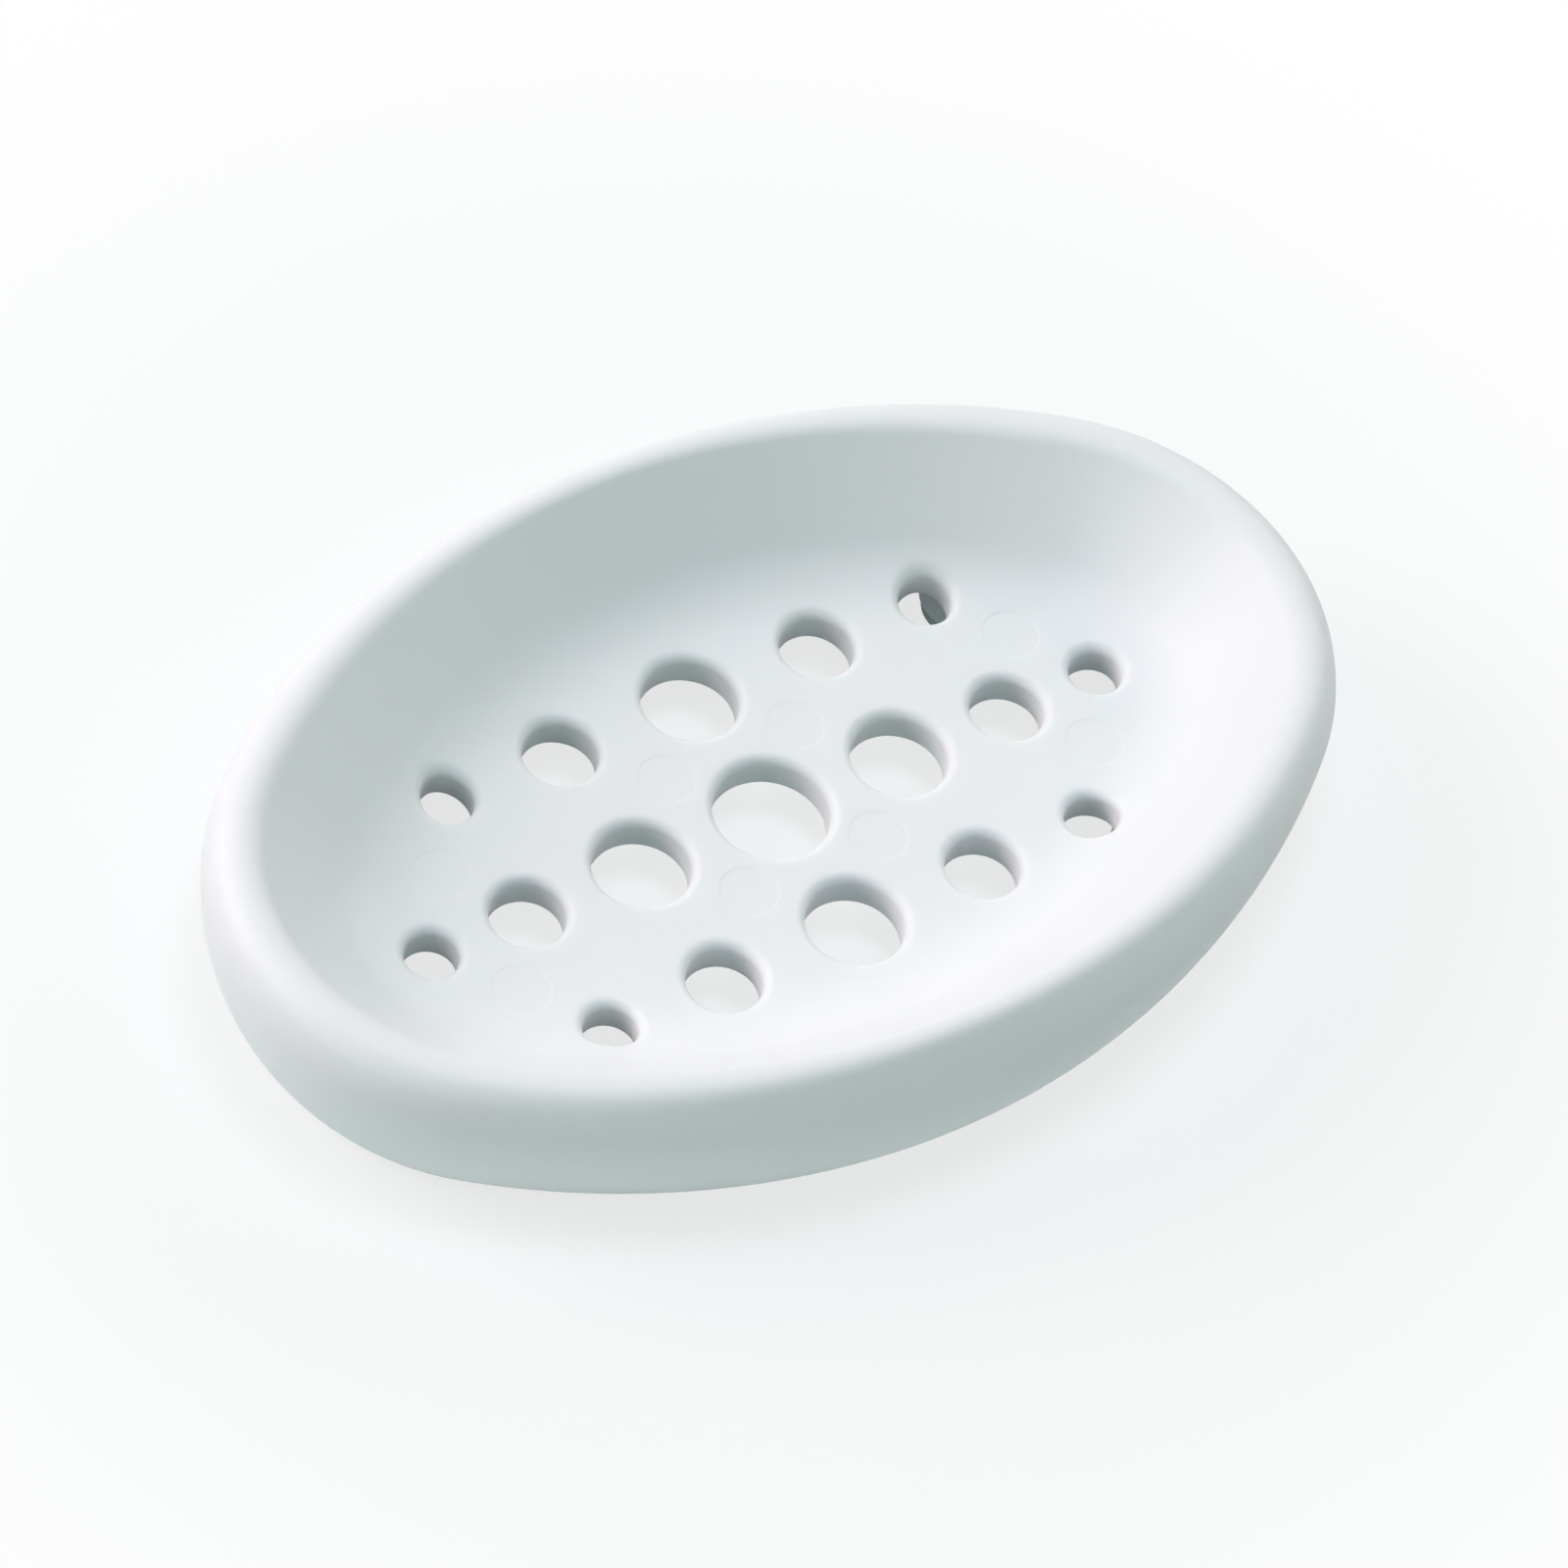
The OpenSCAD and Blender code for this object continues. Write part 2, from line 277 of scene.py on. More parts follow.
class Oval:
    """The plan: a four-centre oval. Its end arcs and side arcs meet in radial lines."""

    def __init__(self, size):
        half_l, half_w, self.end_r = size.length / 2, size.width / 2, size.end_radius
        self.side_r = (half_w**2 + half_l**2 - 2 * half_l * self.end_r) / (2 * (half_w - self.end_r))
        self.end_x = half_l - self.end_r
        self.side_y = self.side_r - half_w
        self.join = math.atan2(self.side_y, self.end_x)

    def inset(self, x, y):
        """How far a point of the plan lies inside the outline."""
        x, y = abs(x), abs(y)
        if math.atan2(y, x - self.end_x) < self.join:
            return self.end_r - math.hypot(x - self.end_x, y)
        return self.side_r - math.hypot(x, y + self.side_y)

    def ring(self, inset, steps):
        """Points of the oval at an inset, anticlockwise, as (x, y)."""
        quarter = []
        for k in range(2 * steps):
            if k < steps:
                a, r = self.join * k / steps, self.end_r - inset
                quarter.append((r * math.cos(a) + self.end_x, r * math.sin(a)))
            else:
                a, r = self.join + (math.pi / 2 - self.join) * (k / steps - 1), self.side_r - inset
                quarter.append((r * math.cos(a), r * math.sin(a) - self.side_y))
        quarter.append((0.0, self.side_r - inset - self.side_y))
        back = [(-x, y) for x, y in reversed(quarter[:-1])]
        half = quarter + back
        return half + [(x, -y) for x, y in reversed(half[1:-1])]


class Section:
    """The wall in section: x runs outwards from the outline and z is the height."""

    def __init__(self, size):
        self.size = size
        slope = size.bowl_slope
        (crest_x, crest_z), _ = self.crest(
            size.rim_height, size.belly_height, size.shoulder_radius, size.crest_radius
        )
        slope_top = (
            crest_x - size.crest_radius * math.sin(slope),
            crest_z + size.crest_radius * math.cos(slope),
        )
        fillet_top = size.floor_height + size.bowl_radius * (1 - math.cos(slope))
        run = (slope_top[1] - fillet_top) / math.tan(slope)
        self.floor_inset = size.bowl_radius * math.sin(slope) - slope_top[0] + run
        self.bowl_c = (-self.floor_inset, size.floor_height + size.bowl_radius)
        self.under_z = size.floor_height - size.floor_thickness
        self.under_r = size.bowl_radius + size.wall
        thinner = size.wall - size.floor_thickness
        self.under_c = (self.bowl_c[0] + thinner / math.tan(slope), self.bowl_c[1] + thinner)
        self.under_foot = (
            self.under_c[0] + self.under_r * math.sin(slope),
            self.under_c[1] - self.under_r * math.cos(slope),
        )
        self.groove_z = size.belly_height + size.groove_rise

    @staticmethod
    def crest(rim, belly, shoulder_r, crest_r):
        """Centre of the crest's rounding, and the angle in degrees where it meets the shoulder."""
        angle = math.asin((rim - belly - crest_r) / (shoulder_r - crest_r))
        reach = shoulder_r - crest_r
        return (reach * math.cos(angle) - shoulder_r, belly + reach * math.sin(angle)), math.degrees(angle)

    def top(self, inset):
        """Height of the bowl's surface over the floor and its fillet."""
        rise = max(0.0, self.floor_inset - inset)
        radius = self.size.bowl_radius
        return self.size.floor_height + radius - math.sqrt(radius**2 - min(rise, radius) ** 2)

    def bottom(self, inset):
        """Height of the underside, from the floor out to the groove under the rim."""
        out = -inset - self.under_c[0]
        if out <= 0:
            return self.under_z
        if -inset <= self.under_foot[0]:
            return self.under_c[1] - math.sqrt(self.under_r**2 - out**2)
        climb = (-inset - self.under_foot[0]) * math.tan(self.size.bowl_slope)
        return min(self.groove_z, self.under_foot[1] + climb)

    def lower_radius(self, belly):
        """Radius of the skirt, which is upright at the widest level and comes in by its inset."""
        drop = belly - self.size.skirt_gap
        return (drop**2 + self.size.skirt_inset**2) / (2 * self.size.skirt_inset)

    def outside(self, seam, rim, belly, shoulder_r, crest_r):
        """The seen face, from the bowl's fillet at an inset over the rim down to the skirt's edge."""
        size = self.size
        crest_c, crest_a = self.crest(rim, belly, shoulder_r, crest_r)
        # The bowl's side is the line that touches both the crest's rounding and the fillet
        across, up = crest_c[0] - self.bowl_c[0], crest_c[1] - self.bowl_c[1]
        slope = math.atan2(up, across) + math.asin((size.bowl_radius + crest_r) / math.hypot(across, up))
        slope = math.degrees(slope)
        seam_a = -math.degrees(math.acos((-seam - self.bowl_c[0]) / size.bowl_radius))
        lower_r = self.lower_radius(belly)
        edge_z = size.skirt_gap + size.skirt_round
        edge_a = math.asin((belly - edge_z) / (lower_r - size.skirt_round))
        edge_c = (-lower_r + (lower_r - size.skirt_round) * math.cos(edge_a), edge_z)
        edge_a = math.degrees(edge_a)
        return (
            arc(self.bowl_c, size.bowl_radius, seam_a, slope - 90, FILLET_STEPS)
            + arc(crest_c, crest_r, 90 + slope, crest_a, CREST_STEPS)
            + arc((-shoulder_r, belly), shoulder_r, crest_a, 0, WALL_STEPS)[1:]
            + arc((-lower_r, belly), lower_r, 0, -edge_a, WALL_STEPS)[1:]
            + arc(edge_c, size.skirt_round, -edge_a, -90, SHORT_STEPS)[1:]
        )

    def underneath(self, seam):
        """The hidden face, from the skirt's edge through the groove to the same inset."""
        size = self.size
        slope = math.degrees(size.bowl_slope)
        edge_z = size.skirt_gap + size.skirt_round
        groove_r = self.lower_radius(size.belly_height) - size.wall
        lower_c = (-groove_r - size.wall, size.belly_height)
        edge_a = math.asin((size.belly_height - edge_z) / (groove_r + size.skirt_round))
        edge_c = (lower_c[0] + (groove_r + size.skirt_round) * math.cos(edge_a), edge_z)
        edge_a = math.degrees(edge_a)
        shoulder_r = size.shoulder_radius - size.wall
        groove_a = math.degrees(math.asin(size.groove_rise / shoulder_r))
        groove = arc((-size.shoulder_radius, size.belly_height), shoulder_r, 0, groove_a, SHORT_STEPS)
        ceiling_x = self.under_foot[0] + (self.groove_z - self.under_foot[1]) / math.tan(size.bowl_slope)
        outer_corner = (groove[-1][0], self.groove_z)
        inner_corner = (ceiling_x, self.groove_z)
        reach = size.wall / 8  # how far from a corner of the groove its rounding starts
        seam_a = -math.degrees(math.acos((-seam - self.under_c[0]) / self.under_r))
        return (
            arc(edge_c, size.skirt_round, -90, -180 - edge_a, TURN_STEPS)
            + arc(lower_c, groove_r, -edge_a, 0, FILLET_STEPS)[1:]
            + groove[1:-1]
            + softened(groove[-2], outer_corner, inner_corner, reach)
            + softened(outer_corner, inner_corner, self.under_foot, reach)
            + arc(self.under_c, self.under_r, slope - 90, seam_a, FILLET_STEPS)
        )

    def side(self, seam):
        """The whole section along the oval's sides."""
        size = self.size
        seen = self.outside(
            seam, size.rim_height, size.belly_height, size.shoulder_radius, size.crest_radius
        )
        return seen + self.underneath(seam)

    def end(self, seam):
        """The whole section at the oval's ends, with the broader rim."""
        size = self.size
        rim = size.rim_height - size.end_rim_drop
        seen = self.outside(
            seam, rim, size.end_belly_height, size.end_shoulder_radius, size.end_crest_radius
        )
        return seen + self.underneath(seam)


def drain_holes(size):
    """Centre and bore radius of each drain hole. A hole's size follows its steps from the middle."""
    radii = [d / 2 for d in (size.middle_hole, size.large_hole, size.medium_hole, size.small_hole)]
    columns = [0.0]
    for inner, outer in zip(radii, radii[1:]):
        columns.append(columns[-1] + inner + outer + size.hole_web)
    row = columns[1]
    last = len(radii) - 1
    holes = []
    for j in (-1, 0, 1):
        for i in range(-last, last + 1):
            step = abs(i) + abs(j)
            if step <= last:
                holes.append((math.copysign(columns[abs(i)], i), j * row, radii[step]))
    return holes


def ejector_marks(size):
    """Centres of the round marks, midway between the holes about them."""
    holes = drain_holes(size)
    columns = sorted({round(x, 9) for x, y, r in holes if x >= 0})
    row = columns[1]
    places = (columns[1] / 2, (columns[2] + columns[3]) / 2)
    return [(sx * x, sy * row / 2) for x in places for sx in (-1, 1) for sy in (-1, 1)]


# ---- Building with nodes and meshes


def add(tree, kind, inputs=None, **settings):
    """Adds a node with its settings. An input takes a value, or a socket to link from."""
    node = tree.nodes.new(kind)
    for name, value in settings.items():
        setattr(node, name, value)
    for key, value in (inputs or {}).items():
        if isinstance(value, bpy.types.NodeSocket):
            tree.links.new(value, node.inputs[key])
        else:
            node.inputs[key].default_value = value
    return node


def maths(tree, operation, *values):
    """Adds a math node and returns its result."""
    return add(tree, "ShaderNodeMath", dict(enumerate(values)), operation=operation).outputs[0]


def new_tree(name, sockets):
    """A geometry tree with named inputs and one geometry output. Returns it with its two end nodes."""
    tree = bpy.data.node_groups.new(name, "GeometryNodeTree")
    tree.interface.new_socket("Geometry", in_out="OUTPUT", socket_type="NodeSocketGeometry")
    for label, kind in sockets.items():
        tree.interface.new_socket(label, in_out="INPUT", socket_type=kind)
    return tree, tree.nodes.new("NodeGroupInput").outputs, tree.nodes.new("NodeGroupOutput")


def finished(tree, geometry, given, end):
    """Ends a tree: makes its instances real and gives the geometry its material."""
    real = add(tree, "GeometryNodeRealizeInstances", {0: geometry})
    coated = add(
        tree, "GeometryNodeSetMaterial", {"Geometry": real.outputs[0], "Material": given["Material"]}
    )
    tree.links.new(coated.outputs[0], end.inputs[0])
    return tree


def grown(name, tree, values, start=None):
    """Runs a tree as a modifier on a new object and returns its result as a plain mesh."""
    host = bpy.data.objects.new(name, start or bpy.data.meshes.new(name))
    bpy.context.scene.collection.objects.link(host)
    modifier = host.modifiers.new(name, "NODES")
    modifier.node_group = tree
    identifiers = {s.name: s.identifier for s in tree.interface.items_tree if s.in_out == "INPUT"}
    for label, value in values.items():
        modifier[identifiers[label]] = value
    result = host.evaluated_get(bpy.context.evaluated_depsgraph_get())
    mesh = bpy.data.meshes.new_from_object(result)
    host.modifiers.remove(modifier)
    bpy.data.objects.remove(host)
    return mesh


def profile_object(name, points):
    """A section as a curve for Curve to Mesh, whose profile runs down as its y grows."""
    curve = bpy.data.curves.new(name, "CURVE")
    curve.dimensions = "3D"
    spline = curve.splines.new("POLY")
    spline.points.add(len(points) - 1)
    for point, (x, z) in zip(spline.points, points):
        point.co = (x, -z, 0, 1)
    obj = bpy.data.objects.new(name, curve)
    bpy.context.scene.collection.objects.link(obj)
    return obj


def place(name, mesh, slot_name, *nodes):
    """Makes a finished mesh a piece that rides on the dish and stands for CAD nodes."""
    mesh.name = name
    mesh.shade_smooth()
    obj = bpy.data.objects.new(name, mesh)
    bpy.context.scene.collection.objects.link(obj)
    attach(obj, "root")
    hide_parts(*nodes)
    return obj


def lathe(bm, profile, steps, centre=(0.0, 0.0)):
    """Turns a section of (radius, height) points that starts and ends on the axis into a closed solid."""
    rings = []
    for radius, z in profile:
        if radius == 0:
            rings.append([bm.verts.new((centre[0], centre[1], z))])
            continue
        rings.append([bm.verts.new((x, y, z)) for x, y in circle(centre, radius, steps)])
    for low, high in zip(rings, rings[1:]):
        for k in range(steps):
            # A ring of one vertex, on the axis, gives triangles
            corners = [low[k % len(low)], low[(k + 1) % len(low)]]
            corners += [high[(k + 1) % len(high)], high[k % len(high)]]
            bm.faces.new(list(dict.fromkeys(corners)))
    return rings


def swept(tree, path, section):
    """Adds the nodes that carry a section object along a path node's curve."""
    profile = add(tree, "GeometryNodeObjectInfo", {"Object": section})
    return add(
        tree,
        "GeometryNodeCurveToMesh",
        {"Curve": path.outputs[0], "Profile Curve": profile.outputs["Geometry"]},
    )


def wall_tree():
    """Carries a section round a four-centre oval that is worked out from its radii and centres. The
    side's section turns into the end's on the way."""
    tree, given, end = new_tree(
        "Oval wall",
        {
            "Side section": "NodeSocketObject",
            "End section": "NodeSocketObject",
            "End centre": "NodeSocketFloat",
            "End radius": "NodeSocketFloat",
            "Side centre": "NodeSocketFloat",
            "Side radius": "NodeSocketFloat",
            "Join angle": "NodeSocketFloat",
            "Half arc steps": "NodeSocketFloat",
            "Material": "NodeSocketMaterial",
        },
    )
    half_arc, join = given["Half arc steps"], given["Join angle"]
    points = maths(tree, "MULTIPLY", half_arc, 8.0)
    quarter = maths(tree, "MULTIPLY", half_arc, 2.0)
    ring = add(tree, "GeometryNodeCurvePrimitiveCircle", {"Resolution": points})
    index = add(tree, "GeometryNodeInputIndex")
    # Runs up along one quarter and down along the next
    along = maths(tree, "PINGPONG", index.outputs[0], quarter)
    end_turn = add(tree, "ShaderNodeMapRange", {"Value": along, "From Max": half_arc, "To Max": join})
    rest = maths(tree, "SUBTRACT", math.pi / 2, join)
    side_turn = add(
        tree,
        "ShaderNodeMapRange",
        {"Value": along, "From Min": half_arc, "From Max": quarter, "To Max": rest},
    )
    angle = maths(tree, "ADD", end_turn.outputs[0], side_turn.outputs[0])
    on_side = maths(tree, "GREATER_THAN", along, half_arc)
    radius, centre_x, centre_y = (
        add(tree, "GeometryNodeSwitch", {0: on_side, 1: at_end, 2: at_side}, input_type="FLOAT").outputs[0]
        for at_end, at_side in (
            (given["End radius"], given["Side radius"]),
            (given["End centre"], 0.0),
            (0.0, given["Side centre"]),
        )
    )
    x = maths(tree, "MULTIPLY_ADD", radius, maths(tree, "COSINE", angle), centre_x)
    y = maths(tree, "MULTIPLY_ADD", radius, maths(tree, "SINE", angle), centre_y)
    quarter_place = add(tree, "ShaderNodeCombineXYZ", {0: x, 1: y})
    position = add(tree, "GeometryNodeInputPosition")
    side = add(tree, "ShaderNodeVectorMath", {0: position.outputs[0]}, operation="SIGN")
    oval_place = add(
        tree,
        "ShaderNodeVectorMath",
        {0: quarter_place.outputs[0], 1: side.outputs[0]},
        operation="MULTIPLY",
    )
    path = add(
        tree, "GeometryNodeSetPosition", {"Geometry": ring.outputs[0], "Position": oval_place.outputs[0]}
    )
    # The share of the end's section rises along the side arc, from its middle to the join
    share = add(
        tree,
        "ShaderNodeMapRange",
        {"Value": along, "From Min": quarter, "From Max": half_arc},
        interpolation_type="SMOOTHSTEP",
    )
    marked = add(
        tree,
        "GeometryNodeStoreNamedAttribute",
        {"Geometry": path.outputs[0], "Name": "end share", "Value": share.outputs[0]},
        data_type="FLOAT",
        domain="POINT",
    )
    sides_sweep = swept(tree, marked, given["Side section"])
    ends_sweep = swept(tree, marked, given["End section"])
    here = add(tree, "GeometryNodeInputPosition")
    at_end = add(
        tree,
        "GeometryNodeSampleIndex",
        {"Geometry": ends_sweep.outputs[0], "Value": here.outputs[0], "Index": index.outputs[0]},
        data_type="FLOAT_VECTOR",
        domain="POINT",
    )
    stored = add(tree, "GeometryNodeInputNamedAttribute", {"Name": "end share"}, data_type="FLOAT")
    blended = add(
        tree,
        "ShaderNodeMix",
        {0: stored.outputs[0], 4: here.outputs[0], 5: at_end.outputs[0]},
        data_type="VECTOR",
    )
    wall = add(
        tree,
        "GeometryNodeSetPosition",
        {"Geometry": sides_sweep.outputs[0], "Position": blended.outputs[1]},
    )
    return finished(tree, wall.outputs[0], given, end)


def collar_tree():
    """Gives each point a round collar: one edge profile carried round a circle of the point's bore."""
    tree, given, end = new_tree(
        "Drain hole collars",
        {
            "Holes": "NodeSocketGeometry",
            "Edge profile": "NodeSocketObject",
            "Steps round": "NodeSocketInt",
            "Material": "NodeSocketMaterial",
        },
    )
    bore = add(tree, "GeometryNodeInputNamedAttribute", {"Name": "bore"}, data_type="FLOAT")
    unit = add(
        tree, "GeometryNodeCurvePrimitiveCircle", {"Resolution": given["Steps round"], "Radius": 1.0}
    )
    rings = add(
        tree,
        "GeometryNodeInstanceOnPoints",
        {"Points": given["Holes"], "Instance": unit.outputs[0], "Scale": bore.outputs[0]},
    )
    curves = add(tree, "GeometryNodeRealizeInstances", {0: rings.outputs[0]})
    even = add(tree, "GeometryNodeSetCurveRadius", {"Curve": curves.outputs[0], "Radius": 1.0})
    sweep = swept(tree, even, given["Edge profile"])
    return finished(tree, sweep.outputs[0], given, end)


def feet_tree():
    """Sets one foot at each corner of a rectangle."""
    tree, given, end = new_tree(
        "Feet",
        {
            "Foot": "NodeSocketObject",
            "Pitch along": "NodeSocketFloat",
            "Pitch across": "NodeSocketFloat",
            "Material": "NodeSocketMaterial",
        },
    )
    corners = add(
        tree,
        "GeometryNodeMeshGrid",
        {"Size X": given["Pitch along"], "Size Y": given["Pitch across"], "Vertices X": 2, "Vertices Y": 2},
    )
    foot = add(tree, "GeometryNodeObjectInfo", {"Object": given["Foot"]})
    copies = add(
        tree,
        "GeometryNodeInstanceOnPoints",
        {"Points": corners.outputs[0], "Instance": foot.outputs["Geometry"]},
    )
    return finished(tree, copies.outputs[0], given, end)


# ---- Materials


def new_material(name):
    """An empty node material and its tree."""
    material = bpy.data.materials.new(name)
    material.use_nodes = True
    material.node_tree.nodes.clear()
    return material, material.node_tree


def principled(tree, constants):
    """The shader of a piece, joined to the output, with the constants on its own sockets."""
    shader = add(tree, "ShaderNodeBsdfPrincipled", constants)
    add(tree, "ShaderNodeOutputMaterial", {"Surface": shader.outputs[0]})
    return shader.inputs


def noise(tree, place_node, width, detail):
    """Noise in the piece's own coordinates, with blotches of about one width."""
    values = {"Vector": place_node.outputs["Object"], "Scale": 1 / width, "Detail": detail}
    return add(tree, "ShaderNodeTexNoise", values).outputs[0]


def shade(colour, *shares):
    """A colour times a share for each channel, with full alpha."""
    return tuple(c * share for c, share in zip(colour, shares)) + (1.0,)


def moulded_polypropylene(colour):
    """White polypropylene from a satin tool. Light sinks a little way in, and red least, so shadows
    stay soft and cool. The skin has a low, even sheen, broken up by a very shallow orange peel."""
    material, tree = new_material("moulded polypropylene")
    skin = principled(
        tree,
        {
            "IOR": 1.49,
            "Subsurface Weight": 0.2,
            "Subsurface Radius": (0.6, 1.0, 1.0),
            "Subsurface Scale": 1.6 * MM,
        },
    )
    place_node = add(tree, "ShaderNodeTexCoord")
    # Pigment drifts by a shade or two where the melt flowed together
    drift = noise(tree, place_node, 25 * MM, 2.0)
    warm, cool = shade(colour, 1.0, 0.995, 0.985), shade(colour, 0.975, 0.99, 1.0)
    tint = add(tree, "ShaderNodeMix", {"Factor": drift, 6: warm, 7: cool}, data_type="RGBA")
    # The tool's satin differs a little from place to place
    polish = noise(tree, place_node, 9 * MM, 3.0)
    sheen = add(tree, "ShaderNodeMapRange", {"Value": polish, "To Min": 0.5, "To Max": 0.6})
    # Orange peel of the skin
    peel = noise(tree, place_node, 1.4 * MM, 1.0)
    bump = add(tree, "ShaderNodeBump", {"Height": peel, "Strength": 0.06, "Distance": 0.05 * MM})
    tree.links.new(tint.outputs[2], skin["Base Color"])
    tree.links.new(sheen.outputs[0], skin["Roughness"])
    tree.links.new(bump.outputs[0], skin["Normal"])
    return material


def soft_elastomer(colour):
    """Pale thermoplastic elastomer: matt, a little cloudy, with a fine dry grain that grips."""
    material, tree = new_material("soft elastomer")
    skin = principled(
        tree, {"Roughness": 0.62, "IOR": 1.48, "Subsurface Weight": 0.3, "Subsurface Scale": 1 * MM}
    )
    place_node = add(tree, "ShaderNodeTexCoord")
    cloud = noise(tree, place_node, 4 * MM, 2.0)
    light, dark = shade(colour, 1.0, 1.0, 1.0), shade(colour, 0.9, 0.9, 0.9)
    tint = add(tree, "ShaderNodeMix", {"Factor": cloud, 6: light, 7: dark}, data_type="RGBA")
    grain = noise(tree, place_node, 0.3 * MM, 2.0)
    bump = add(tree, "ShaderNodeBump", {"Height": grain, "Strength": 0.15, "Distance": 0.03 * MM})
    tree.links.new(tint.outputs[2], skin["Base Color"])
    tree.links.new(bump.outputs[0], skin["Normal"])
    return material


def seen_directly(tree):
    """A factor that is 1 where the camera, a reflection or a view through something clear arrives."""
    rays = add(tree, "ShaderNodeLightPath").outputs
    seen = maths(tree, "MAXIMUM", rays["Is Camera Ray"], rays["Is Glossy Ray"])
    return maths(tree, "MAXIMUM", seen, rays["Is Transmission Ray"])


def matt_table(colour, white_share):
    """Plain white laminate for the studio's table. What is seen of it directly is partly plain
    white near the dish, so that its shadow stays pale, and wholly white from some way off."""
    material, tree = new_material("matt white laminate")
    laminate = add(tree, "ShaderNodeBsdfDiffuse", {"Color": shade(colour, 1.0, 1.0, 1.0), "Roughness": 0.9})
    white = add(tree, "ShaderNodeEmission", {"Color": WHITE, "Strength": 1.0})
    place_node = add(tree, "ShaderNodeTexCoord")
    away = add(tree, "ShaderNodeVectorMath", {0: place_node.outputs["Object"]}, operation="LENGTH")
    fade = add(
        tree,
        "ShaderNodeMapRange",
        {
            "Value": away.outputs["Value"],
            "From Min": WHITE_FROM,
            "From Max": WHITE_TO,
            "To Min": white_share,
        },
        interpolation_type="SMOOTHSTEP",
    )
    share = maths(tree, "MULTIPLY", seen_directly(tree), fade.outputs[0])
    both = add(tree, "ShaderNodeMixShader", {0: share, 1: laminate.outputs[0], 2: white.outputs[0]})
    add(tree, "ShaderNodeOutputMaterial", {"Surface": both.outputs[0]})
    return material


# ---- The pieces


def loop_of(mesh, first, step, count):
    """Every step-th vertex of a swept mesh from one on: one ring of it."""
    return [tuple(mesh.vertices[first + step * k].co) for k in range(count)]


def sheet(bm, loops, inner, height, holes, gap):
    """Fills the plan between an outer loop and the holes' loops. Inner points take their height from
    a function of the plan, and those nearer than a gap to a hole's loop are left out."""
    places, edges = [], []
    for loop in loops:
        start = len(places)
        places += loop
        edges += [(start + k, start + (k + 1) % len(loop)) for k in range(len(loop))]
    for x, y in inner:
        if all(math.hypot(x - hx, y - hy) > r + gap for hx, hy, r in holes):
            places.append((x, y, height(x, y)))
    # The triangulation's tolerance is meant for numbers near 1, so it works in millimetres
    flat = [Vector((x / MM, y / MM)) for x, y, z in places]
    found, _, faces, sources, _, _ = delaunay_2d_cdt(flat, edges, [], 0, 1e-6)
    verts = []
    for spot, source in zip(found, sources):
        x, y = spot.x * MM, spot.y * MM
        verts.append(bm.verts.new(places[source[0]] if source else (x, y, height(x, y))))
    for face in faces:
        middle = sum((verts[k].co.xy for k in face), Vector((0.0, 0.0))) / len(face)
        if all(math.hypot(middle.x - hx, middle.y - hy) > r for hx, hy, r in holes):
            bm.faces.new([verts[k] for k in face])


def boss_with_socket(bm, centre, size, foot, wall, oval):
    """A round boss with a blind socket. Its top follows the underside and ends a third of the way
    into the wall, so that no gap is left between them."""
    bore = foot.stem / 2 + foot.socket_play
    mouth_z = foot.pad_height
    roof_z = FOOT_HIGH.z + foot.socket_relief
    edge = size.skirt_round / 4  # bevel of the socket's mouth and of the boss's lower edge
    profile = [
        (0, roof_z),
        (bore, roof_z),
        (bore, mouth_z + edge),
        (bore + edge, mouth_z),
        (size.boss / 2 - edge, mouth_z),
        (size.boss / 2, mouth_z + edge),
        (size.boss / 2, roof_z),
        (0, roof_z),
    ]
    rings = lathe(bm, profile, size.hole_steps, centre)
    for vert in rings[-2] + rings[-1]:
        vert.co.z = wall.bottom(oval.inset(vert.co.x, vert.co.y)) + size.wall / 3


